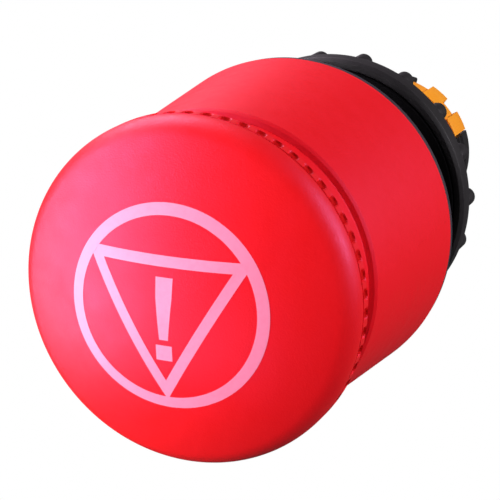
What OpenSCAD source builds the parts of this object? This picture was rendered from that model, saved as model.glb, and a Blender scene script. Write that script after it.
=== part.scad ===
// Emergency stop operator for a 22.5 mm panel hole: a mushroom head that is pushed to trip and pulled
// to reset, a collar, a threaded stem and a ring nut. Each module below is one separate piece.
// Sizes are in millimetres. The modules are drawn with z along the push axis, z = 0 on the front face
// of the panel and +z towards the operator's hand, and upright() turns that axis to -y.

/* [Mushroom head] */
// Outer diameter of the mushroom head
head_d = 38; // [36.6:0.2:39]
// Height of the crown above the skirt's rear edge
head_h = 9; // [8.8:0.1:9.6]
// Radius of the domed face
dome_r = 36.4; // [34:0.2:40]
// Radius of the rounded shoulder between face and skirt
shoulder_r = 3.4; // [1.8:0.1:4]
// How far the skirt's rear edge draws in from the largest diameter
skirt_draw = 0.5; // [0:0.1:0.8]
// Number of grip notches around the skirt's rear edge
notch_count = 58; // [24:2:64]
// Radius of one grip notch
notch_r = 0.55; // [0.3:0.05:0.7]

/* [Collar and panel seat] */
// Height of the skirt's rear edge above the panel
skirt_z = 28.7; // [28.7:0.1:29.5]
// Diameter of the collar at the panel
collar_rear_d = 39.4; // [38:0.2:40]
// Diameter of the collar at its shoulder
collar_front_d = 36.2; // [36:0.2:37]
// Height of the collar's shoulder above the panel
collar_shoulder_z = 23.1; // [22.5:0.1:24.2]
// Thickness of the panel gasket
gasket_t = 1; // [0.6:0.1:1.4]

/* [Stem and ring nut] */
// Diameter of the stem, which passes through the 22.5 mm panel hole
stem_d = 22; // [21.8:0.1:22.2]
// Distance from the panel's front face to the rear end of the stem
stem_rear = 40.4; // [39.6:0.2:44]
// Distance from the panel's front face to the front of the nut's washer, as drawn
nut_gap = 11.9; // [2:0.1:16]
// Outer diameter of the nut's rim
nut_d = 34.8; // [33.6:0.2:36]
// Number of grip nubs around the nut
nub_count = 18; // [6:1:24]

/* [Hidden] */
$fn = 96;
eps = 0.5;

// Clearances: a running fit and the gap between pieces that only sit beside each other
run = 0.05;
gap = 0.1;

// Head: centres of the dome and of the rounded shoulder, which meet along a tangent
head_r = head_d / 2;
apex_z = skirt_z + head_h;
dome_z = apex_z - dome_r;
shoulder_x = head_r - shoulder_r;
shoulder_z = dome_z + sqrt(pow(dome_r - shoulder_r, 2) - pow(shoulder_x, 2));
tangent_x = shoulder_x * dome_r / (dome_r - shoulder_r);
skirt_rear_r = head_r - skirt_draw;
skirt_in_r = 17.5;
roof_z = 34.2;
boss_r = 7;
boss_z = 31;
insert_r = 4.5;
insert_top_z = 35.5;

// Plunger: hub that slides in the stem's tower and the shaft down the middle
hub_r = 9;
hub_rear_z = 13;
hub_cavity_r = 7.3;
hub_cavity_z = 20;
shaft_r = 3;
shaft_tip_r = 2.5;
shaft_step_z = 28;
shaft_tip_z = 35;
shaft_rear_z = -34.8;

// Collar: neck under the skirt, roof, seal recess and the skirt that holds the snap ring
neck_r = 17.3;
neck_z = 26.7;
lip_r = 15;
lip_z = 28.2;
collar_in_r = 16;
collar_roof_z = 24;
seal_r = 12;
seal_z = 25.8;
seal_top_z = 27.4;
flange_r = 17.3;
flange_z = 3.5;
tower_r = 13;
clip_z = 20;
clip_wire_r = 0.4;

// Stem: outer radius, tower bore, spring bore, latch chamber and slotted rear tube
stem_r = stem_d / 2;
undercut_r = stem_r - 0.2;
relief_z = -7.6;
relief_w = 0.8;
ledge_z = 7.5;
spring_bore_r = 7.4;
web_front_z = -2;
web_rear_z = -5;
bush_r = 5;
chamber_r = 8;
tube_z = -24.5;
tube_in_r = 9.5;
window_mid = 48;
window_half = 28;
end_z = -stem_rear;

// Latch: a cone on the shaft spreads two sprung jaws as the head goes in
cam_top_z = -5.05;
cam_len = 7;
cam_top_r = 5;
cam_slope = 0.2;
cam_end_r = cam_top_r - cam_slope * cam_len;
cage_front_z = -7;
cage_rear_z = -13.2;
cage_r = chamber_r - run;
cage_bore_r = 5.4;
jaw_front_z = -8;
jaw_rear_z = -12;
jaw_mid_z = -10;
jaw_w = 3.4;
jaw_tip_r = cam_top_r + cam_slope * (jaw_mid_z - cam_top_z) + 0.1;
jaw_back_x = 6.2;
jaw_spring_r = 1.1;
jaw_wire_r = 0.14;

// Trip spring
spring_mean_r = 6;
spring_wire_r = 0.6;
washer_top_z = -1.2;

// Drive crown: inner cup with two wings in the stem's windows, and two lugs on each wing
crown_front_z = -25.3;
crown_rear_z = -36.9;
crown_r = tube_in_r - 0.08;
wing_r = 10.6;
lug_r = 10.9;
lug_rear_z = -38.3;
lug_front_z = -33.4;
lug_w = 2.6;
lug_angles = [54, 29];
crown_hub_r = 5;
pin_z = -31;
pin_r = 1;

// Ring nut and its washer
nut_front_z = -nut_gap;
nut_r = nut_d / 2;
rim_t = 3.3;
nut_len = 6.7;
recess_r = nut_r - 1.2;
recess_t = 1.6;
hub_nut_r = nut_r - 2.2;
nub_r = 1.15;
nub_len = 2.3;
bevel = 0.5;

module upright() {
    rotate([90, 0, 0]) children();
}

// A tube between two heights
module ring(outer, inner, low, high) {
    difference() {
        translate([0, 0, low]) cylinder(r = outer, h = high - low);
        translate([0, 0, low - eps]) cylinder(r = inner, h = high - low + 2 * eps);
    }
}

// A plain disc between two heights
module disc(radius, low, high) {
    translate([0, 0, low]) cylinder(r = radius, h = high - low);
}

// A wedge of the space around the axis, from angle a to angle b, both under 180 degrees apart
module sector(a, b, reach, low, high) {
    far = reach / cos((b - a) / 2) * 1.2;
    translate([0, 0, low])
        linear_extrude(high - low)
            polygon([[0, 0], [far * cos(a), far * sin(a)], [far * cos(b), far * sin(b)]]);
}

// A helical wire with flat-ended turns, made of short straight lengths
module coil(mean_r, wire_r, length, turns, steps, sides) {
    count = turns * steps;
    rise = length - 2 * wire_r;
    points = [
        for (i = [0 : count])
            for (k = [0 : sides - 1])
                let (
                    turn = 360 * i / steps,
                    side = 360 * k / sides,
                    reach = mean_r + wire_r * cos(side)
                )
                [reach * cos(turn), reach * sin(turn), wire_r * sin(side) + wire_r + rise * i / count]
    ];
    walls = [
        for (i = [0 : count - 1])
            for (k = [0 : sides - 1])
                let (n = (k + 1) % sides)
                [i * sides + k, (i + 1) * sides + k, (i + 1) * sides + n, i * sides + n]
    ];
    front = [[for (k = [0 : sides - 1]) k]];
    back = [[for (k = [sides - 1 : -1 : 0]) count * sides + k]];
    polyhedron(points = points, faces = concat(front, walls, back), convexity = 10);
}

// Half-section of the head: domed face, rounded shoulder and skirt
module head_section() {
    intersection() {
        translate([0, dome_z]) circle(r = dome_r, $fn = 360);
        translate([0, skirt_z]) square([tangent_x, head_h + 1]);
    }
    intersection() {
        translate([shoulder_x, shoulder_z]) circle(r = shoulder_r);
        translate([shoulder_x, shoulder_z]) square(2 * shoulder_r);
    }
    polygon([[0, skirt_z], [skirt_rear_r, skirt_z], [head_r, shoulder_z], [0, shoulder_z]]);
}

// Half-section of the hollow under the face
module head_hollow() {
    polygon([
        [0, skirt_z - 1], [skirt_in_r, skirt_z - 1], [skirt_in_r, skirt_z + 2.3],
        [skirt_in_r - 1.9, 32.5], [hub_r + 1, roof_z], [0, roof_z]
    ]);
}

module mushroom_cap() {
    color("#f02a3a") upright() difference() {
        union() {
            rotate_extrude() difference() {
                head_section();
                head_hollow();
            }
            disc(boss_r, boss_z, roof_z + eps);
        }
        disc(insert_r, boss_z - eps, insert_top_z);
        for (i = [0 : notch_count - 1])
            rotate([0, 0, 360 * i / notch_count])
                translate([skirt_in_r - 1, 0, skirt_z])
                    rotate([0, 90, 0]) cylinder(r = notch_r, h = 3, $fn = 24);
    }
}

// Brass insert moulded into the cap; the shaft's tip screws into it
module cap_insert() {
    color("#c9a24a") upright() difference() {
        disc(insert_r, boss_z, insert_top_z - gap);
        disc(shaft_tip_r + 0.02, boss_z - eps, shaft_tip_z + gap);
    }
}

// Sleeve between the cap and the stem's tower
module cap_hub() {
    color("#2b2b2e") upright() difference() {
        disc(hub_r, hub_rear_z, roof_z);
        disc(boss_r + gap, boss_z - gap, roof_z + eps);
        disc(shaft_tip_r + 0.02, shaft_step_z - eps, boss_z);
        disc(shaft_r + 0.02, hub_rear_z - eps, shaft_step_z);
        disc(hub_cavity_r, hub_rear_z - eps, hub_cavity_z);
    }
}

module plunger_shaft() {
    color("#b9bcc0") upright() difference() {
        union() {
            disc(shaft_r, shaft_rear_z, shaft_step_z);
            disc(shaft_tip_r, shaft_step_z - eps, shaft_tip_z);
        }
        translate([0, 0, pin_z]) rotate([0, 90, 0])
            cylinder(r = pin_r, h = 3 * shaft_r, center = true);
        translate([0, 0, cam_top_z - cam_len + 1.5]) rotate([90, 0, 0])
            cylinder(r = pin_r / 2, h = 3 * shaft_r, center = true);
    }
}

// Cone that spreads the jaws; its front face is the head's outward stop
module latch_cam() {
    color("#8f9398") upright() difference() {
        translate([0, 0, cam_top_z - cam_len]) cylinder(r1 = cam_end_r, r2 = cam_top_r, h = cam_len);
        disc(shaft_r + 0.01, cam_top_z - cam_len - eps, cam_top_z + eps);
        translate([0, 0, cam_top_z - cam_len + 1.5]) rotate([90, 0, 0])
            cylinder(r = pin_r / 2, h = 3 * cam_top_r, center = true);
    }
}

// Small pin that fixes the cam to the shaft
module cam_pin() {
    color("#c5c8cb") upright() translate([0, 0, cam_top_z - cam_len + 1.5]) rotate([90, 0, 0])
        cylinder(r = pin_r / 2 - 0.01, h = 2 * cam_end_r - 0.2, center = true);
}

// Outline of one wing of the crown, between two radii
module wing(outer, low, high, trim) {
    intersection() {
        ring(outer, crown_r - 1, low, high);
        sector(window_mid - window_half + trim, window_mid + window_half - trim, outer, low, high);
    }
}

module drive_crown() {
    color("#ffa514") upright() difference() {
        union() {
            ring(crown_r, crown_r - 1.2, crown_rear_z, crown_front_z);
            disc(crown_r, crown_rear_z, crown_rear_z + 2);
            disc(crown_hub_r, crown_rear_z, crown_front_z - 1.7);
            for (side = [0, 180])
                rotate([0, 0, side]) {
                    wing(wing_r, crown_rear_z, crown_front_z, 2);
                    for (a = lug_angles)
                        rotate([0, 0, a]) intersection() {
                            ring(lug_r, crown_r - 0.8, lug_rear_z, lug_front_z);
                            translate([crown_r - 2, -lug_w / 2, lug_rear_z])
                                cube([5, lug_w, lug_front_z - lug_rear_z]);
                        }
                }
        }
        disc(shaft_r + 0.01, shaft_rear_z - gap, crown_front_z + eps);
        translate([0, 0, pin_z]) rotate([0, 90, 0])
            cylinder(r = pin_r, h = 2.6 * crown_hub_r, center = true);
    }
}

// Pin that fixes the crown to the shaft
module crown_pin() {
    color("#c5c8cb") upright() translate([0, 0, pin_z]) rotate([0, 90, 0])
        cylinder(r = pin_r - 0.01, h = 2 * crown_hub_r - 0.4, center = true);
}

module collar() {
    rear_r = collar_rear_d / 2;
    front_r = collar_front_d / 2;
    color("#e02234") upright() difference() {
        rotate_extrude() polygon([
            [seal_r - 2.4, gasket_t], [rear_r - 0.25, gasket_t], [rear_r, gasket_t + 0.3],
            [rear_r - 0.02, gasket_t + 0.8], [front_r, collar_shoulder_z],
            [front_r - 0.25, collar_shoulder_z + 0.35], [neck_r, collar_shoulder_z + 0.7],
            [neck_r, neck_z - 0.3], [neck_r - 0.3, neck_z], [lip_r, neck_z], [lip_r, lip_z],
            [seal_r - 2.4, lip_z]
        ]);
        disc(flange_r + gap, 0, flange_z + gap);
        difference() {
            disc(collar_in_r, 0, collar_roof_z);
            ring(tower_r + 1.8, tower_r + gap, clip_z - 3, collar_roof_z + eps);
        }
        disc(tower_r + gap, 0, collar_roof_z);
        disc(seal_r, seal_z, lip_z + eps);
        rotate_extrude() translate([tower_r + gap / 2, clip_z]) circle(r = clip_wire_r + gap / 2);
    }
}

module wiper_seal() {
    color("#1d1d1f") upright() ring(seal_r - gap / 2, hub_r + run, seal_z, seal_top_z);
}

module seal_retainer() {
    color("#303033") upright() ring(seal_r - gap / 2, hub_r + 0.4, seal_top_z, lip_z);
}

// Wire ring that locks the collar to the stem's tower
module collar_snap_ring() {
    color("#b9bcc0") upright() difference() {
        rotate_extrude() translate([tower_r + gap / 2, clip_z]) circle(r = clip_wire_r);
        sector(-12, 12, tower_r + 2, clip_z - 1, clip_z + 1);
    }
}

// Flat ring whose lip snaps into the stem's undercut
module panel_gasket() {
    outer = collar_rear_d / 2 - 0.1;
    lip = undercut_r + run;
    color("#38323b") upright() rotate_extrude() polygon([
        [lip, gasket_t / 2], [stem_r + 0.3, 0], [outer - 0.15, 0], [outer, 0.15],
        [outer, gasket_t], [lip, gasket_t]
    ]);
}

module stem_body() {
    color("#1f1d22") upright() difference() {
        union() {
            disc(flange_r, gasket_t, flange_z);
            disc(tower_r, gasket_t, collar_roof_z);
            disc(undercut_r, -eps, flange_z);
            disc(stem_r, end_z, 0);
        }
        ring(stem_r + 1, stem_r - 0.3, relief_z - relief_w, relief_z);
        disc(hub_r + run, ledge_z, collar_roof_z + eps);
        disc(spring_bore_r, web_front_z, ledge_z + eps);
        disc(bush_r, web_rear_z - eps, web_front_z + eps);
        disc(chamber_r, tube_z - eps, web_rear_z);
        disc(tube_in_r, end_z - eps, tube_z);
        for (side = [0, 180])
            rotate([0, 0, side])
                sector(window_mid - window_half, window_mid + window_half, stem_r + 1, end_z - eps, tube_z);
        rotate_extrude() translate([tower_r + gap / 2, clip_z]) circle(r = clip_wire_r + gap / 2);
    }
}

module front_bush() {
    color("#e8e6df") upright() ring(bush_r - 0.02, shaft_r + run, web_rear_z, web_front_z);
}

module spring_washer() {
    color("#b9bcc0") upright() ring(spring_bore_r - gap, shaft_r + 0.4, web_front_z, washer_top_z);
}

module trip_spring() {
    color("#9fa3a8") upright() translate([0, 0, washer_top_z])
        coil(spring_mean_r, spring_wire_r, hub_cavity_z - washer_top_z, 7, 20, 10);
}

// Slotted guide that holds the two jaws around the cam
module jaw_cage() {
    color("#e8e6df") upright() difference() {
        disc(cage_r, cage_rear_z, cage_front_z);
        disc(cage_bore_r, cage_rear_z - eps, cage_front_z + eps);
        translate([-cage_r - 1, -jaw_w / 2 - run, jaw_rear_z - run])
            cube([2 * cage_r + 2, jaw_w + 2 * run, jaw_front_z - jaw_rear_z + 2 * run]);
    }
}

// One jaw, on the +x side, with its tip hollowed to the cam's cone and a seat for its spring
module latch_jaw() {
    difference() {
        translate([jaw_tip_r - 1, -jaw_w / 2, jaw_rear_z])
            cube([jaw_back_x - jaw_tip_r + 1, jaw_w, jaw_front_z - jaw_rear_z]);
        translate([0, 0, jaw_mid_z - 10])
            cylinder(r1 = jaw_tip_r - 10 * cam_slope, r2 = jaw_tip_r + 10 * cam_slope, h = 20);
        translate([jaw_back_x - 0.4, 0, jaw_mid_z]) rotate([0, 90, 0])
            cylinder(r = jaw_spring_r + jaw_wire_r + 0.1, h = 1);
    }
}

module latch_jaw_right() {
    color("#a7abb0") upright() latch_jaw();
}

module latch_jaw_left() {
    color("#a7abb0") upright() rotate([0, 0, 180]) latch_jaw();
}

// Spring between a jaw and the chamber wall
module jaw_spring() {
    translate([jaw_back_x - 0.4, 0, jaw_mid_z]) rotate([0, 90, 0])
        coil(jaw_spring_r, jaw_wire_r, chamber_r - jaw_back_x + 0.3, 4, 14, 6);
}

module jaw_spring_right() {
    color("#9fa3a8") upright() jaw_spring();
}

module jaw_spring_left() {
    color("#9fa3a8") upright() rotate([0, 0, 180]) jaw_spring();
}

// Disc that closes the latch chamber and guides the shaft's rear
module rear_bush() {
    color("#e8e6df") upright() ring(chamber_r - 0.02, shaft_r + run, -22, -19);
}

// Washer that turns free in the nut's front recess and bears on the panel
module thrust_washer() {
    color("#141315") upright()
        ring(recess_r - gap, stem_r + 0.15, nut_front_z - recess_t + run, nut_front_z);
}

module ring_nut() {
    rim_front = nut_front_z - 0.3;
    rim_rear = rim_front - rim_t + 0.3;
    rear = nut_front_z - nut_len;
    color("#2a1d27") upright() difference() {
        union() {
            rotate_extrude() polygon([
                [stem_r, rim_front], [nut_r - bevel, rim_front], [nut_r, rim_front - bevel],
                [nut_r, rim_rear + 0.2], [nut_r - 0.2, rim_rear], [hub_nut_r, rim_rear],
                [hub_nut_r, rear + bevel], [hub_nut_r - bevel, rear], [stem_r, rear]
            ]);
            for (i = [0 : nub_count - 1])
                rotate([0, 0, 360 * (i + 0.1) / nub_count])
                    translate([nut_r - nub_r + 0.05, 0, rim_rear - nub_len]) {
                        cylinder(r = nub_r, h = nub_len + 0.3, $fn = 40);
                        translate([-nub_r * 1.4, -nub_r, 0]) cube([nub_r * 1.4, 2 * nub_r, nub_len + 0.3]);
                    }
        }
        disc(stem_r + run, rear - eps, nut_front_z + eps);
        disc(recess_r, nut_front_z - recess_t, nut_front_z + eps);
    }
}

mushroom_cap();
cap_insert();
cap_hub();
plunger_shaft();
latch_cam();
cam_pin();
drive_crown();
crown_pin();
collar();
wiper_seal();
seal_retainer();
collar_snap_ring();
panel_gasket();
stem_body();
front_bush();
spring_washer();
trip_spring();
jaw_cage();
latch_jaw_right();
latch_jaw_left();
jaw_spring_right();
jaw_spring_left();
rear_bush();
thrust_washer();
ring_nut();
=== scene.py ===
import math

import bmesh
import bpy
from mathutils import Matrix, Quaternion, Vector


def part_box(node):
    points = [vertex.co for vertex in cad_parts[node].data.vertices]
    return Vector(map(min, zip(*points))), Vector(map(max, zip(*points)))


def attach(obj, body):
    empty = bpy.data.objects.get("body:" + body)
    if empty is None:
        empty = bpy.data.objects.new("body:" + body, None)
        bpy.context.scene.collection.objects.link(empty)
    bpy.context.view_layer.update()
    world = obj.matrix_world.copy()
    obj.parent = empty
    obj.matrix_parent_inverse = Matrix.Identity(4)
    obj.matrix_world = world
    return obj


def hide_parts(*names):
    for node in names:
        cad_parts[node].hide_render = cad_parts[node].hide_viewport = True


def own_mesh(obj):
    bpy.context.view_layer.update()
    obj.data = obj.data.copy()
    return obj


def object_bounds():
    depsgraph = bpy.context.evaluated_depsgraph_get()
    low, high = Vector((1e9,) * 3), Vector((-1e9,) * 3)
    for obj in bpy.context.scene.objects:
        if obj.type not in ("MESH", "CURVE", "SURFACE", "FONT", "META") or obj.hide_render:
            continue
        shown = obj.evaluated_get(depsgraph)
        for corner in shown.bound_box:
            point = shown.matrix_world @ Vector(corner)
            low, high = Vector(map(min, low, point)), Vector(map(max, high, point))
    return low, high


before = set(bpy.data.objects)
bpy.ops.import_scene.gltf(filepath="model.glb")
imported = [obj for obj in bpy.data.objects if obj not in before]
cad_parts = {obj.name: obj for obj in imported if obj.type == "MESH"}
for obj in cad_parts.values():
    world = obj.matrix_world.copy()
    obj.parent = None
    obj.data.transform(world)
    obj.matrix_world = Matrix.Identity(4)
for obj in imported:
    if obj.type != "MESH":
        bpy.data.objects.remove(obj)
cad_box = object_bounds()


# --- Mushroom cap ---------------------------------------------------------------------------------
# What the hand strikes to stop the machine and pulls to reset it: one injection moulding in red PBT
# with a spark-eroded skin. Its skirt ends in a small bead, and behind the bead and its hairline groove
# runs a lip with a row of scooped grips for the fingers.
# Shapes are drawn in mm about Z; upright turns them to the front and scales them to the frame's metres.
mm = 0.001
upright = Matrix.Rotation(math.radians(90), 4, "X") @ Matrix.Scale(mm, 4)


def colour(text):
    """An sRGB hex colour as the linear colour that a shader takes."""
    parts = [int(text[i : i + 2], 16) / 255 for i in (1, 3, 5)]
    return [p / 12.92 if p < 0.04045 else ((p + 0.055) / 1.055) ** 2.4 for p in parts] + [1]


def add(material, kind, inputs, **settings):
    """Adds a shader node: settings are its own choices, inputs are values or outputs to link."""
    made = material.node_tree.nodes.new("ShaderNode" + kind)
    for name, value in settings.items():
        setattr(made, name, value)
    for socket, value in inputs.items():
        if isinstance(value, bpy.types.NodeSocket):
            material.node_tree.links.new(value, made.inputs[socket])
        else:
            made.inputs[socket].default_value = value
    return made


def begin(name, **constants):
    """A new material with its shader and Object coordinates; constants go on the shader's sockets."""
    material = bpy.data.materials.new(name)
    material.use_nodes = True
    shader = material.node_tree.nodes["Principled BSDF"]
    for socket, value in constants.items():
        shader.inputs[socket.replace("_", " ")].default_value = value
    place = add(material, "TexCoord", {}).outputs["Object"]
    return material, shader, place


def moulded(name, tone, worn, rough, grain, depth, marbling=0.25, **constants):
    """Injection-moulded plastic: cloudy colour from the melt's flow, fine eroded grain, dull scuffs.

    grain is the spacing of the eroded bumps and depth their height, in mm; marbling mixes in worn.
    """
    material, shader, place = begin(name, **constants)
    link = material.node_tree.links.new
    flow = add(material, "TexNoise", {"Vector": place, "Scale": 1 / (7 * mm), "Detail": 2,
                                      "Distortion": 0.6})
    speck = add(material, "TexNoise", {"Vector": place, "Scale": 1 / (grain * mm), "Detail": 3})
    scuff = add(material, "TexNoise", {"Vector": place, "Scale": 1 / (2.4 * mm), "Detail": 6,
                                       "Roughness": 0.75})
    cloud = add(material, "MapRange", {"Value": flow.outputs[0], "From Min": 0.3, "From Max": 0.7,
                                       "To Max": marbling})
    base = add(material, "Mix", {0: cloud.outputs[0], 6: colour(tone), 7: colour(worn)}, data_type="RGBA")
    dots = add(material, "MapRange", {"Value": speck.outputs[0], "From Min": 0.42, "From Max": 0.62,
                                      "To Max": 0.22})
    dotted = add(material, "Mix", {0: dots.outputs[0], 6: base.outputs[2], 7: colour(worn)},
                 data_type="RGBA")
    dull = add(material, "MapRange", {"Value": scuff.outputs[0], "From Min": 0.35, "From Max": 0.7,
                                      "To Min": rough - 0.04, "To Max": rough + 0.08})
    grains = add(material, "Bump", {"Height": speck.outputs[0], "Strength": 0.6, "Distance": depth * mm})
    link(dotted.outputs[2], shader.inputs["Base Color"])
    link(dull.outputs[0], shader.inputs["Roughness"])
    link(grains.outputs[0], shader.inputs["Normal"])
    return material


def arc(across, along, radius, start, end, steps):
    """Points round a centre; the angle is counted from the push axis outwards."""
    turns = [math.radians(start + (end - start) * i / steps) for i in range(steps + 1)]
    return [(across + radius * math.sin(t), along + radius * math.cos(t)) for t in turns]


def eased(corners, steps=4):
    """A closed outline from (across, along, radius) corners, each rounded by its own radius."""
    outline = []
    for i, (across, along, radius) in enumerate(corners):
        corner = Vector((across, along))
        if not radius:
            outline.append((across, along))
            continue
        before = (Vector(corners[i - 1][:2]) - corner).normalized()
        after = (Vector(corners[(i + 1) % len(corners)][:2]) - corner).normalized()
        half = before.angle(after) / 2
        centre = corner + (before + after).normalized() * radius / math.sin(half)
        start = corner + before * radius / math.tan(half) - centre
        end = corner + after * radius / math.tan(half) - centre
        sweep = start.angle_signed(end)
        for k in range(steps + 1):
            outline.append(tuple(centre + Matrix.Rotation(-sweep * k / steps, 2) @ start))
    return outline


def turned(outline, steps, start=0, sweep=360):
    """A body of revolution about the push axis, or a slice of one with flat ends."""
    bm = bmesh.new()
    points = [bm.verts.new((across, 0, along)) for across, along in outline]
    edges = [bm.edges.new((a, b)) for a, b in zip(points, points[1:] + points[:1])]
    bmesh.ops.rotate(bm, verts=points, matrix=Matrix.Rotation(math.radians(start), 3, "Z"))
    if sweep < 360:
        bm.faces.new(points)
    spun = bmesh.ops.spin(bm, geom=points + edges, cent=(0, 0, 0), axis=(0, 0, 1),
                          angle=math.radians(sweep), steps=steps, use_merge=sweep == 360)
    if sweep < 360:
        last = [e for e in spun["geom_last"] if isinstance(e, bmesh.types.BMEdge)]
        bmesh.ops.contextual_create(bm, geom=last)
    bmesh.ops.remove_doubles(bm, verts=bm.verts, dist=1e-4)
    bmesh.ops.recalc_face_normals(bm, faces=bm.faces)
    return bm


def piece(name, bm, material, body, slot, *stands_for):
    """Stands a finished shape up in the frame, shades it and hands it to its moving body."""
    bm.transform(upright)
    mesh = bpy.data.meshes.new(name)
    bm.to_mesh(mesh)
    bm.free()
    mesh.shade_smooth()
    mesh.set_sharp_from_angle(angle=math.radians(32))
    mesh.materials.append(material)
    made = bpy.data.objects.new(name, mesh)
    bpy.context.scene.collection.objects.link(made)
    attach(made, body)
    if stands_for:
        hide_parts(*stands_for)
    return made


low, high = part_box("mushroom_cap")
head_r, apex, skirt_rear = high.x / mm, -low.y / mm, -high.y / mm
dome_r, shoulder_r = 36.4, 3.4
dome_centre = apex - dome_r
shoulder_x = head_r - shoulder_r
bead = dome_centre + math.sqrt((dome_r - shoulder_r) ** 2 - shoulder_x**2)
meet = math.degrees(math.asin(shoulder_x / (dome_r - shoulder_r)))
skirt_in_r, roof, boss_r, boss_end, insert_r, insert_front = 17.5, 34.2, 7, 31, 4.5, 35.5
groove, lip_rear = 0.1, skirt_rear + 0.1
lip_top, lip_foot = bead - 0.15, lip_rear + 0.2
lip_mid, lip_half = (lip_top + lip_foot) / 2, (lip_top - lip_foot) / 2
grips, grip_w, grip_d, lip_rows = 58, 0.6, 0.32, 12
pitch = 2 * math.pi / grips

face = arc(0, dome_centre, dome_r, 0, meet, 18) + arc(shoulder_x, bead, shoulder_r, meet, 88, 14)[1:]
face += [(head_r - groove, bead - 0.06), (head_r - groove, bead - 0.1), (head_r - 0.02, bead - 0.14)]
lip = [(head_r, lip_top - 2 * lip_half * k / lip_rows) for k in range(lip_rows + 1)]
hollow = eased([
    (head_r - 0.06, lip_rear, 0.16), (skirt_in_r + 0.1, lip_rear, 0.1), (skirt_in_r, skirt_rear + 2, 0.6),
    (15.6, roof - 2, 1.2), (10, roof, 1), (boss_r + 0.05, roof, 0.4), (boss_r, boss_end, 0.3),
    (insert_r, boss_end, 0.15), (insert_r, insert_front, 0), (0, insert_front, 0)])
cap = turned(face + lip + hollow, grips * 12)


def scooped(point):
    """How deep in a grip a point of the lip lies, from 0 on the rim to 1 in the middle."""
    across = math.hypot(point.x, point.y)
    off = (math.atan2(point.y, point.x) + pitch / 2) % pitch - pitch / 2
    depth = 1 - abs(off * across / grip_w) ** 3 - abs((point.z - lip_mid) / lip_half) ** 3
    return max(0, depth) if across > skirt_in_r + 0.7 else 0


# Faces in the grips take the second material, the darker red that paints the scoops' shade.
for patch in cap.faces:
    patch.material_index = 1 if scooped(patch.calc_center_median()) else 0
for vert in cap.verts:
    shrink = 1 - grip_d * math.sqrt(scooped(vert.co)) / head_r
    vert.co.x *= shrink
    vert.co.y *= shrink

# Red PBT from a spark-eroded tool: a saturated red with a soft pinkish haze where the light falls flat.
cap_red = moulded("spark_eroded_red_pbt", "#ea0e0a", "#ee1814", 0.46, 0.18, 0.045,
                  IOR=1.6, Specular_Tint=(1, 0.36, 1, 1))
# The same plastic in the scoops, painted a darker, duller red that stands for the shade in them.
scoop_painted_shade_red = moulded("red_pbt_painted_scoop_shade", "#cc0c10", "#b40c0e", 0.7, 0.22, 0.03,
                    IOR=1.4, Specular_IOR_Level=0.1)
mushroom = piece("cap_moulding", cap, cap_red, "head", "cap_red", "mushroom_cap")
mushroom.data.materials.append(scoop_painted_shade_red)


# --- Emergency stop sign --------------------------------------------------------------------------
# The general emergency stop sign, pad-printed on the dome in one pass of pale ink: a ring round a
# triangle that points down, with an exclamation mark. The film is a few hundredths thick and follows
# the dome, with its edges standing just proud.
ink_t, ink_sunk = 0.03, 0.02
ring_out, ring_in = 11.02, 9.77


def on_dome(x, y):
    """The height of the cap's dome over a point of the sign."""
    return dome_centre + math.sqrt(dome_r**2 - x * x - y * y)


def printed(corners, cuts):
    """A flat patch of ink, cut along its first and third sides, laid on the dome and thickened."""
    bm = bmesh.new()
    points = [bm.verts.new((x, y, 0)) for x, y in corners]
    bm.faces.new(points)
    bm.edges.ensure_lookup_table()
    long_sides = [bm.edges.get((points[0], points[1])), bm.edges.get((points[2], points[3]))]
    bmesh.ops.subdivide_edges(bm, edges=long_sides, cuts=cuts, use_grid_fill=True)
    for vert in bm.verts:
        vert.co.z = on_dome(vert.co.x, vert.co.y) - ink_sunk
    bmesh.ops.recalc_face_normals(bm, faces=bm.faces)
    if sum(f.normal.z for f in bm.faces) < 0:
        bmesh.ops.reverse_faces(bm, faces=bm.faces)
    raised = bmesh.ops.extrude_face_region(bm, geom=bm.faces[:])
    tops = [v for v in raised["geom"] if isinstance(v, bmesh.types.BMVert)]
    bmesh.ops.translate(bm, verts=tops, vec=(0, 0, ink_sunk + ink_t))
    return bm


def join(shapes):
    """Several shapes as one."""
    whole = bmesh.new()
    for shape in shapes:
        part = bpy.data.meshes.new("part")
        shape.to_mesh(part)
        whole.from_mesh(part)
        bpy.data.meshes.remove(part)
        shape.free()
    return whole


ring_rows = [ring_out + (ring_in - ring_out) * k / 3 for k in range(4)]
band = [(ring_out, on_dome(ring_out, 0) - ink_sunk)]
band += [(r, on_dome(r, 0) + ink_t) for r in ring_rows]
band += [(ring_in, on_dome(ring_in, 0) - ink_sunk)]
stroke = 1.15
tip, top = -10.1, 5.78
wide = (top - tip) / math.sqrt(3)
inner_tip, inner_top = tip + 2 * stroke, top - stroke
inner_wide = (inner_top - inner_tip) / math.sqrt(3)
marks = [turned(band, 192)]
marks.append(printed([(-wide, top), (wide, top), (inner_wide, inner_top), (-inner_wide, inner_top)], 24))
for side in (-1, 1):
    marks.append(printed([(side * wide, top), (0, tip), (0, inner_tip), (side * inner_wide, inner_top)], 24))
# The exclamation mark's head, body and dot, by the half width and height of their upper and lower ends.
for top_w, top_y, foot_w, foot_y, cuts in (
        (0.95, 3.55, 0.9, 1.4, 4), (0.9, 1.4, 0.49, -3.17, 8), (0.9, -3.77, 0.9, -5.46, 4)):
    marks.append(printed([(-top_w, top_y), (-foot_w, foot_y), (foot_w, foot_y), (top_w, top_y)], cuts))

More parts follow.
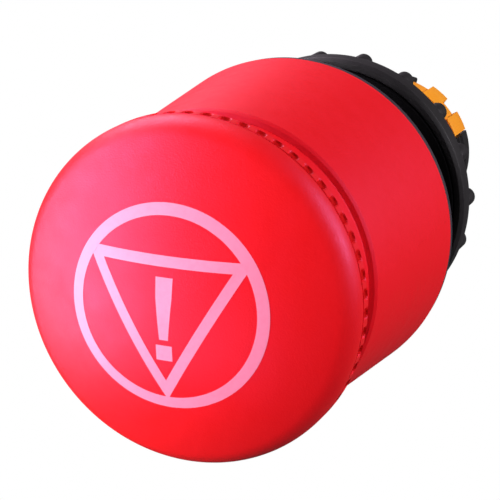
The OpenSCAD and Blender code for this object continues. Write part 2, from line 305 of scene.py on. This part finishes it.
# Pad-printed ink: a matt pale pink, a little thin in places so that the red shows through.
ink, shader, place = begin("pad_printed_pale_ink", Roughness=0.5, IOR=1.5, Specular_Tint=(1, 0.8, 0.95, 1))
mottle = add(ink, "TexNoise", {"Vector": place, "Scale": 1 / (0.5 * mm), "Detail": 4})
thin = add(ink, "MapRange", {"Value": mottle.outputs[0], "From Min": 0.4, "From Max": 0.75, "To Max": 0.25})
cover = add(ink, "Mix", {0: thin.outputs[0], 6: colour("#f586a8"), 7: colour("#f0708f")}, data_type="RGBA")
lift = add(ink, "Bump", {"Height": mottle.outputs[0], "Strength": 0.3, "Distance": 0.008 * mm})
ink.node_tree.links.new(cover.outputs[2], shader.inputs["Base Color"])
ink.node_tree.links.new(lift.outputs[0], shader.inputs["Normal"])
piece("stop_sign_print", join(marks), ink, "head", "cap_red")


# --- Collar ---------------------------------------------------------------------------------------
# The fixed red barrel under the head. It is moulded in the same plastic as the cap from a plainer
# tool, tapers from the panel to a shoulder, and clips over the stem's tower.
low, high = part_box("collar")
rear_r, lip_z, rear_z = high.x / mm, -low.y / mm, -high.y / mm
roof_z, step_r, step_z, neck_r, neck_z = rear_z + 23, 18.12, 23.05, 17.3, 26.7
collar = turned(eased([
    (9.6, roof_z, 0.3), (16, roof_z, 0.6), (16, rear_z + 0.3, 0), (16.3, rear_z, 0),
    (rear_r - 0.2, rear_z, 0.1), (rear_r, rear_z + 0.22, 0.12), (rear_r - 0.04, rear_z + 0.85, 0.2),
    (step_r, step_z, 0.12), (step_r - 0.27, step_z + 0.37, 0.1), (neck_r, step_z + 0.65, 0.12),
    (neck_r, neck_z, 0.22), (15, neck_z, 0.1), (15, lip_z, 0.15), (12, lip_z, 0.1), (12, 25.8, 0.05),
    (9.6, 25.8, 0.1)]), 256)
# The same PBT from a plainer tool: an even red with less grain and less haze.
collar_red = moulded("moulded_red_pbt", "#ea0c10", "#ee1418", 0.5, 0.18, 0.03,
                     IOR=1.5, Specular_Tint=(1, 0.36, 1, 1))
piece("collar_moulding", collar, collar_red, "base", "collar_red", "collar")


# --- Panel gasket ---------------------------------------------------------------------------------
# A flat sealing ring in black nitrile rubber, cut square and pressed between the collar and the
# panel. Its inner lip snaps into the stem's undercut.
low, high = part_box("panel_gasket")
gasket_r, gasket_t = high.x / mm, -low.y / mm
gasket = turned(eased([
    (10.85, gasket_t, 0), (10.85, gasket_t / 2, 0.1), (11.3, 0, 0.1), (gasket_r - 0.1, 0, 0.15),
    (gasket_r, 0.2, 0.1), (gasket_r, gasket_t, 0.08)]), 256)
# Moulded nitrile rubber: a flat dark grey with a faint bloom.
rubber = moulded("nitrile_rubber", "#2a242c", "#3d3540", 0.62, 0.15, 0.01, marbling=0.4, IOR=1.52)
piece("gasket_ring", gasket, rubber, "base", "rubber_black", "panel_gasket")


# --- Stem -----------------------------------------------------------------------------------------
# The black body that goes through the panel: one moulding in glass-filled nylon with a flange, a
# tower for the head's hub, the nut's thread, and a rear tube cut into two staves for the adapter.
low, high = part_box("stem_body")
tower_top, stem_end = -low.y / mm, -high.y / mm
stem_r, core_r, thread_pitch = 11, 10.42, 1.5
thread_front, tube_front = -8.6, -24.5
stave = (76, 200)
stem_parts = [turned(eased([
    (13, tower_top, 0.25), (13, 3.5, 0.2), (17.3, 3.5, 0.2), (17.3, 1, 0.1), (10.8, 1, 0.1), (10.8, 0, 0),
    (stem_r, 0, 0.1), (stem_r, -7.6, 0.15), (10.7, -7.6, 0), (10.7, -8.4, 0), (core_r, -8.5, 0.05),
    (core_r, tube_front, 0), (8, tube_front, 0.1), (8, -5, 0.2), (5, -5, 0.1), (5, -2, 0.1),
    (7.4, -2, 0.1), (7.4, 7.5, 0.3), (9.05, 7.5, 0.1), (9.05, tower_top, 0.25)]), 192)]
for side in (0, 180):
    stem_parts.append(turned(eased([
        (core_r, tube_front + 0.3, 0), (core_r, stem_end + 0.5, 0.1), (core_r - 0.35, stem_end, 0.12),
        (9.65, stem_end, 0.12), (9.5, stem_end + 0.3, 0), (9.5, tube_front + 0.3, 0)]),
        64, stave[0] + side, stave[1] - stave[0]))


def thread(start, sweep, along):
    """One stretch of the thread's ridge, rising along the axis as it goes round."""
    bm = bmesh.new()
    outline = [(core_r - 0.05, 0.62), (stem_r - 0.06, 0.17), (stem_r - 0.06, -0.17), (core_r - 0.05, -0.62)]
    points = [bm.verts.new((across, 0, rise)) for across, rise in outline]
    bm.faces.new(points)
    bmesh.ops.rotate(bm, verts=points, matrix=Matrix.Rotation(math.radians(start), 3, "Z"))
    bmesh.ops.translate(bm, verts=points, vec=(0, 0, along))
    steps = max(8, round(sweep / 7.5))
    climb = thread_pitch * sweep / 360 / steps
    edges = list({e for p in points for e in p.link_edges})
    spun = bmesh.ops.spin(bm, geom=points + edges, cent=(0, 0, 0), axis=(0, 0, 1), dvec=(0, 0, climb),
                          angle=math.radians(sweep), steps=steps)
    last = [e for e in spun["geom_last"] if isinstance(e, bmesh.types.BMEdge)]
    bmesh.ops.contextual_create(bm, geom=last)
    bmesh.ops.recalc_face_normals(bm, faces=bm.faces)
    return bm


whole_turns = math.floor((thread_front - tube_front) / thread_pitch)
stem_parts.append(thread(stave[0], 360 * whole_turns, tube_front + 0.4))
stave_turns = math.floor((tube_front - stem_end) / thread_pitch)
for turn in range(1, stave_turns):
    for half in (0, 0.5):
        stem_parts.append(thread(stave[0] + 360 * half, stave[1] - stave[0],
                                 tube_front + 0.4 - thread_pitch * (turn - half)))
# Glass-filled nylon: near black and satin, clouded where the fibres reach the skin.
stem_black = moulded("glass_filled_black_nylon", "#0d0b0d", "#1c181b", 0.46, 0.25, 0.01, marbling=0.35,
                     IOR=1.53)
piece("stem_moulding", join(stem_parts), stem_black, "base", "black_plastic", "stem_body")


# --- Ring nut -------------------------------------------------------------------------------------
# The nut that clamps the collar to the panel from behind: black glass-filled nylon with a square rim
# at the front, a narrower hub behind it and a crown of round nubs for fingers or a wrench.
low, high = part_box("ring_nut")
nut_r, rim_front, nut_rear = 17.4, -low.y / mm, -high.y / mm
rim_rear, hub_r, bore_r = rim_front - 3, 15.2, 11.05
nut_parts = [turned(eased([
    (bore_r, nut_rear, 0.3), (bore_r, -13.5, 0.05), (16.2, -13.5, 0.05), (16.2, rim_front, 0.12),
    (nut_r - 0.45, rim_front, 0.12), (nut_r, rim_front - 0.45, 0.12), (nut_r, rim_rear + 0.05, 0.2),
    (hub_r, rim_rear, 0.2), (hub_r, nut_rear + 0.5, 0.12), (hub_r - 0.5, nut_rear, 0.12)]), 240)]
nubs, nub_r, nub_len = 18, 1.15, 2.3
for i in range(nubs):
    nub = bmesh.new()
    bmesh.ops.create_cone(nub, cap_ends=True, segments=32, radius1=nub_r, radius2=nub_r, depth=nub_len + 0.4)
    rims = [e for e in nub.edges if abs(e.calc_face_angle(0)) > 1]
    bmesh.ops.bevel(nub, geom=rims, offset=0.14, affect="EDGES", segments=3, profile=0.5, material=-1)
    root = bmesh.new()
    bmesh.ops.create_cube(root, size=1)
    bmesh.ops.scale(root, verts=root.verts, vec=(1.6, 2 * nub_r, nub_len + 0.3))
    bmesh.ops.translate(root, verts=root.verts, vec=(-0.8, 0, 0.05))
    both = join([nub, root])
    bmesh.ops.translate(both, verts=both.verts, vec=(nut_r - nub_r + 0.05, 0, rim_rear - nub_len / 2 + 0.2))
    bmesh.ops.rotate(both, verts=both.verts, matrix=Matrix.Rotation(2 * math.pi * (i + 0.1) / nubs, 3, "Z"))
    nut_parts.append(both)
# The same nylon from an eroded tool: black with a grain that sparkles a little on the rim.
nut_black = moulded("eroded_black_nylon", "#100d10", "#262226", 0.5, 0.35, 0.02, marbling=0.3, IOR=1.53)
piece("nut_moulding", join(nut_parts), nut_black, "nut", "nut_black", "ring_nut")


# --- Drive crown ----------------------------------------------------------------------------------
# The yellow crown that carries the head's stroke to the switch adapter: an acetal cup pinned to the
# shaft, with two wings in the stem's windows and two square lugs on the end of each wing.
low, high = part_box("drive_crown")


def softened(node, width, segments=2):
    """A copy of a plain CAD shape with every sharp edge broken by a round of this width in mm."""
    bm = bmesh.new()
    bm.from_mesh(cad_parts[node].data)
    bm.transform(upright.inverted())
    bmesh.ops.remove_doubles(bm, verts=bm.verts, dist=0.002)
    bmesh.ops.dissolve_limit(bm, angle_limit=math.radians(1), verts=bm.verts, edges=bm.edges)
    edges = [e for e in bm.edges if len(e.link_faces) == 2 and e.calc_face_angle() > math.radians(30)]
    bmesh.ops.bevel(bm, geom=edges, offset=width, affect="EDGES", segments=segments, profile=0.5,
                    material=-1, clamp_overlap=True)
    return bm


# Moulded acetal: a warm yellow, waxy and slightly marbled.
crown_yellow = moulded("moulded_yellow_acetal", "#f79a10", "#ffb22e", 0.4, 0.3, 0.008, marbling=0.5,
                       IOR=1.48)
piece("crown_moulding", softened("drive_crown", 0.16), crown_yellow, "head", "yellow_plastic", "drive_crown")


# --- Plunger train --------------------------------------------------------------------------------
# What moves inside when the head is struck: a brass insert moulded into the cap, the black hub that
# slides in the stem's tower, a turned steel shaft screwed into the insert, the hardened cam that is
# pinned on it, and the pin that holds the crown.


def turned_metal(name, tone, stain, rough, feed, **constants):
    """Metal cut on a lathe: feed rings round the axis, with faint stains and a slightly uneven gloss."""
    material, shader, place = begin(name, Metallic=1, **constants)
    link = material.node_tree.links.new
    rings = add(material, "TexWave", {"Vector": place, "Scale": 1 / (feed * mm * 6.3), "Distortion": 0.6,
                                      "Detail": 3, "Detail Scale": 2}, bands_direction="Y")
    stains = add(material, "TexNoise", {"Vector": place, "Scale": 1 / (1.8 * mm), "Detail": 5})
    old = add(material, "MapRange", {"Value": stains.outputs[0], "From Min": 0.45, "From Max": 0.75,
                                     "To Max": 0.45})
    base = add(material, "Mix", {0: old.outputs[0], 6: colour(tone), 7: colour(stain)}, data_type="RGBA")
    gloss = add(material, "MapRange", {"Value": rings.outputs[0], "To Min": rough, "To Max": rough + 0.12})
    cut = add(material, "Bump", {"Height": rings.outputs[0], "Strength": 0.35, "Distance": 0.006 * mm})
    link(base.outputs[2], shader.inputs["Base Color"])
    link(gloss.outputs[0], shader.inputs["Roughness"])
    link(cut.outputs[0], shader.inputs["Normal"])
    return material


def finish_node(node, material):
    """Gives a plain CAD piece, whose shape is right, its real finish."""
    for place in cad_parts[node].material_slots:
        place.material = material


# Turned brass is yellow with brown stains, zinc plate on turned steel is pale and bright, and
# hardened steel is a darker grey with finer rings, because it is ground.
turned_brass = turned_metal("turned_brass", "#d8b25c", "#8c6a2c", 0.26, 0.18)
turned_steel = turned_metal("turned_zinc_plated_steel", "#c3c7cc", "#8d9198", 0.24, 0.15)
hard_steel = turned_metal("hardened_ground_steel", "#8f9499", "#5d6166", 0.2, 0.08)
piece("hub_sleeve", softened("cap_hub", 0.2), stem_black, "head", "black_plastic", "cap_hub")
piece("insert_bush", softened("cap_insert", 0.15), turned_brass, "head", "brass", "cap_insert")
piece("shaft_rod", softened("plunger_shaft", 0.2), turned_steel, "head", "steel", "plunger_shaft")
piece("cam_cone", softened("latch_cam", 0.12), hard_steel, "head", "steel", "latch_cam")
finish_node("cam_pin", hard_steel)
finish_node("crown_pin", turned_steel)


# --- Latch ----------------------------------------------------------------------------------------
# Two hardened jaws slide in a white acetal cage and are spread by the cam, so that the head snaps in
# and stays in until it is pulled. Acetal bushes guide the shaft in front of them and behind. White
# acetal is milky and lets a little light in.
white_acetal = moulded("moulded_white_acetal", "#e9e6dc", "#cfcabb", 0.42, 0.3, 0.006, marbling=0.4,
                       IOR=1.48, Subsurface_Weight=0.08, Subsurface_Scale=0.001)
piece("cage_guide", softened("jaw_cage", 0.12), white_acetal, "base", "white_plastic", "jaw_cage")
piece("front_guide", softened("front_bush", 0.2), white_acetal, "base", "white_plastic", "front_bush")
piece("rear_guide", softened("rear_bush", 0.2), white_acetal, "base", "white_plastic", "rear_bush")
for side in ("right", "left"):
    piece(f"jaw_{side}_block", softened(f"latch_jaw_{side}", 0.1), hard_steel, f"jaw_{side}", "steel",
          f"latch_jaw_{side}")


# --- Springs --------------------------------------------------------------------------------------
# The trip spring pushes the head out and rests on a steel washer; a small spring behind each jaw
# presses it on the cam. All are cold-coiled from round music wire, with their end turns closed.
def coiled(mean_r, wire_r, length, turns):
    """A compression spring from z = 0, with one closed turn at each end."""
    bm = bmesh.new()
    bmesh.ops.create_circle(bm, cap_ends=True, segments=12, radius=wire_r)
    bmesh.ops.rotate(bm, verts=bm.verts, matrix=Matrix.Rotation(math.radians(90), 3, "X"))
    bmesh.ops.translate(bm, verts=bm.verts, vec=(mean_r, 0, wire_r))
    now = bm.verts[:] + bm.edges[:]
    closed = 2 * wire_r
    for count, rise in ((1, closed), (turns - 2, length - 2 * wire_r - 2 * closed), (1, closed)):
        steps = round(count * 32)
        spun = bmesh.ops.spin(bm, geom=now, cent=(0, 0, 0), axis=(0, 0, 1), dvec=(0, 0, rise / steps),
                              angle=2 * math.pi * count, steps=steps)
        now = spun["geom_last"]
    bmesh.ops.contextual_create(bm, geom=[e for e in now if isinstance(e, bmesh.types.BMEdge)])
    bmesh.ops.recalc_face_normals(bm, faces=bm.faces)
    return bm


# Drawn spring wire: a dull grey, darker in patches where oil clings.
music_wire, shader, place = begin("oiled_music_wire", Metallic=1, Roughness=0.32)
drawn = add(music_wire, "TexNoise", {"Vector": place, "Scale": 1 / (0.35 * mm), "Detail": 4})
oil = add(music_wire, "MapRange", {"Value": drawn.outputs[0], "From Min": 0.4, "From Max": 0.7})
wire = add(music_wire, "Mix", {0: oil.outputs[0], 6: colour("#a6a9ae"), 7: colour("#6f7277")},
           data_type="RGBA")
draw = add(music_wire, "Bump", {"Height": drawn.outputs[0], "Strength": 0.3, "Distance": 0.004 * mm})
music_wire.node_tree.links.new(wire.outputs[2], shader.inputs["Base Color"])
music_wire.node_tree.links.new(draw.outputs[0], shader.inputs["Normal"])

low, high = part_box("trip_spring")
seat, crest = -high.y / mm, -low.y / mm
main_coil = coiled(6, 0.6, crest - seat, 7)
bmesh.ops.translate(main_coil, verts=main_coil.verts, vec=(0, 0, seat))
coil = piece("trip_coil", main_coil, music_wire, "base", "spring_steel", "trip_spring")
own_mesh(coil)
for side, way in (("right", 1), ("left", -1)):
    low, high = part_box(f"jaw_spring_{side}")
    inner, wall = min(abs(low.x), abs(high.x)) / mm, max(abs(low.x), abs(high.x)) / mm
    small = coiled(1.1, 0.14, wall - inner, 5)
    lay = Matrix.Translation((inner * way, 0, -10)) @ Matrix.Rotation(math.radians(90 * way), 4, "Y")
    small.transform(lay)
    coil = piece(f"jaw_{side}_coil", small, music_wire, "base", "spring_steel", f"jaw_spring_{side}")
    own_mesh(coil)
piece("spring_seat", softened("spring_washer", 0.1), turned_steel, "base", "steel", "spring_washer")


# --- Seal and its retainer ------------------------------------------------------------------------
# A rubber wiper in the collar's lip rubs on the hub to keep water out, and a black ring pressed in
# above it holds it down. A sprung wire ring inside the tower locks the collar to the stem. The
# wiper's soft nitrile is black and dull.
soft_rubber = moulded("wiper_nitrile_rubber", "#1b1a1c", "#2f2d30", 0.55, 0.12, 0.006, marbling=0.3,
                      IOR=1.52)
piece("wiper_ring", softened("wiper_seal", 0.25, 3), soft_rubber, "base", "rubber_black", "wiper_seal")
piece("retainer_ring", softened("seal_retainer", 0.12), stem_black, "base", "black_plastic", "seal_retainer")
finish_node("collar_snap_ring", music_wire)


# --- Thrust washer --------------------------------------------------------------------------------
# A flat black fibre-filled washer that turns free in the nut's front recess, so that the nut can be
# run up without scuffing the panel. Its black is made darker and almost without reflection, as painted
# shade for the deep recess between the collar and the nut.
washer_black = moulded("black_nylon_painted_recess_shade", "#060507", "#100e11", 0.8, 0.2, 0.006, IOR=1.4,
                       Specular_IOR_Level=0.15)
piece("washer_disc", softened("thrust_washer", 0.12), washer_black, "washer", "washer_black",
      "thrust_washer")


# --- Floor and backdrop ---------------------------------------------------------------------------
# A white studio: a floor just under the object and a sphere round both. They glow evenly, so that
# they are white from every side, and neither throws light or a reflection on the object.
bpy.ops.mesh.primitive_plane_add(size=6, location=(0, 0, cad_box[0].z - 0.0005))
floor = bpy.context.object
floor.name = "studio_floor"
white = bpy.data.materials.new("white_floor")
white.use_nodes = True
white.node_tree.nodes.remove(white.node_tree.nodes["Principled BSDF"])
glow = add(white, "Emission", {"Color": (1, 1, 1, 1), "Strength": 1.0})
white.node_tree.links.new(glow.outputs[0], white.node_tree.nodes["Material Output"].inputs[0])
floor.data.materials.append(white)
floor.visible_diffuse = False
floor.visible_glossy = False
bpy.ops.mesh.primitive_uv_sphere_add(radius=3, segments=48, ring_count=24)
backdrop = bpy.context.object
backdrop.name = "studio_backdrop"
backdrop.data.materials.append(white)
backdrop.visible_diffuse = False
backdrop.visible_glossy = False
backdrop.visible_shadow = False


# --- Light ----------------------------------------------------------------------------------------
# A faint even fill, a large softbox at the left, smaller ones high at the left rear and at the right
# rear, two fills that give no reflection, and a glowing card on the floor at the front left.
# Everything below is in metres.
world = bpy.data.worlds.new("studio")
bpy.context.scene.world = world
world.use_nodes = True
world.node_tree.nodes["Background"].inputs["Color"].default_value = (1, 1, 1, 1)
world.node_tree.nodes["Background"].inputs["Strength"].default_value = 0.1


lit_point = Vector((0, -0.02, 0))


def softbox(name, direction, distance, size, power, tint):
    """A rectangular light turned to the lit point, which is inside the collar behind the head."""
    light = bpy.data.lights.new(name, "AREA")
    light.shape = "RECTANGLE"
    light.size, light.size_y = size
    light.energy = power
    light.color = tint
    made = bpy.data.objects.new(name, light)
    bpy.context.scene.collection.objects.link(made)
    way = Vector(direction).normalized()
    made.location = lit_point + way * distance
    made.rotation_mode = "QUATERNION"
    made.rotation_quaternion = way.to_track_quat("Z", "Y")
    return made


softbox("key", (-0.86, -0.5, 0.05), 0.6, (0.55, 0.9), 10.8, (1, 0.93, 1))
softbox("top", (-0.6, 0.4, 0.7), 0.6, (0.4, 0.4), 2.6, (1, 0.85, 1))
softbox("rim", (0.85, 0.3, 0.4), 0.6, (0.2, 0.3), 1.8, (1, 0.93, 1))
softbox("front", (-0.5, -0.9, -0.02), 0.9, (0.5, 0.3), 11, (1, 0.95, 1)).visible_glossy = False
softbox("side", (0.95, 0.1, 0.25), 0.8, (0.4, 0.3), 3, (1, 0.95, 1)).visible_glossy = False
card = softbox("bounce", (-0.06, -0.1, -0.0185), 0.118, (0.15, 0.14), 0.07, (1, 0.93, 1))
card.rotation_quaternion = (0, 1, 0, 0)
card.visible_camera = False


# --- Camera ---------------------------------------------------------------------------------------
# It stands in front of the head, to the right and above, with a long lens and a roll of a degree. It
# aims right of and above the push axis, so that the whole button fits with the head at the lower left.
camera_data = bpy.data.cameras.new("camera")
camera = bpy.data.objects.new("camera", camera_data)
bpy.context.scene.collection.objects.link(camera)
bpy.context.scene.camera = camera
azimuth, elevation, roll = (math.radians(a) for a in (21.69, 16.92, 1.18))
back = Vector((math.sin(azimuth) * math.cos(elevation), -math.cos(azimuth) * math.cos(elevation),
               math.sin(elevation)))
aim = Vector((5.78 * mm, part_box("mushroom_cap")[1].y, 4.81 * mm))
stand_off = 194.8 * mm
camera.location = aim + back * stand_off
camera.rotation_mode = "QUATERNION"
camera.rotation_quaternion = (-back).to_track_quat("-Z", "Y") @ Quaternion((0, 0, 1), roll)
camera_data.sensor_width = 36
camera_data.lens = 134.7
camera_data.clip_start, camera_data.clip_end = 0.01, 20
bpy.context.scene.view_settings.view_transform = "Standard"
